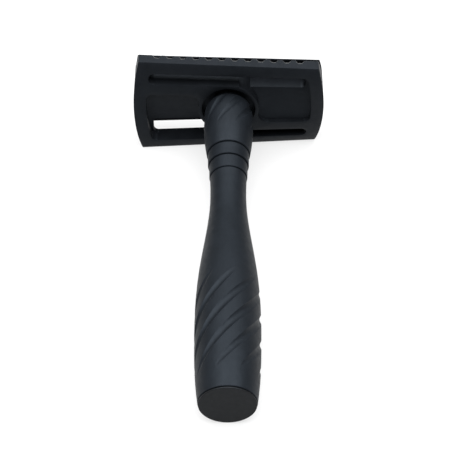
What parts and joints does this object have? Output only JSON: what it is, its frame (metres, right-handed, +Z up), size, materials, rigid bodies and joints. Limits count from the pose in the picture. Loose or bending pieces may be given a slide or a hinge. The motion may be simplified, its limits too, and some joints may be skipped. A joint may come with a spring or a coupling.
{
  "type": "double-edge safety razor",
  "caption": "Slant-bar double-edge safety razor with a scalloped twisted head and a short scooped handle, unloaded, lying on its side.",
  "frame": {"origin": "on the surface that the razor lies on, under the middle of its bounding box", "axes": "+Y from the handle's end towards the head, +X along the blade, +Z up, out of the razor's front guard"},
  "size_m": [0.0442, 0.0946, 0.025],
  "materials": {
    "head_coating": "matt black coating",
    "handle_coating": "matt black coating, slightly blue",
    "plug_coating": "matt black coating, finely turned",
    "stud_steel": "turned stainless steel",
    "insert_brass": "turned brass"
  },
  "bodies": {
    "cap": {"top_cap": "head_coating", "cap_stud": "stud_steel", "guide_pin_left": "stud_steel", "guide_pin_right": "stud_steel"},
    "guard": {"base_plate": "head_coating"},
    "handle": {"handle_body": "handle_coating", "thread_insert": "insert_brass", "end_plug": "plug_coating"}
  },
  "joints": [
    {"name": "guard_slide", "type": "slide", "parent": "cap", "child": "guard", "axis": [0, -0.9972, -0.0745], "range_m": [0, 0.0085]},
    {"name": "handle_turn", "type": "hinge", "parent": "guard", "child": "handle", "pos_m": [0, -0.04692, 0.00604], "axis": [0, -0.9972, -0.0745], "range_deg": [0, 3600]}
  ],
  "couplings": [
    {"joint": "guard_slide", "follows": "handle_turn", "m_per_rad": 0.00012732}
  ]
}
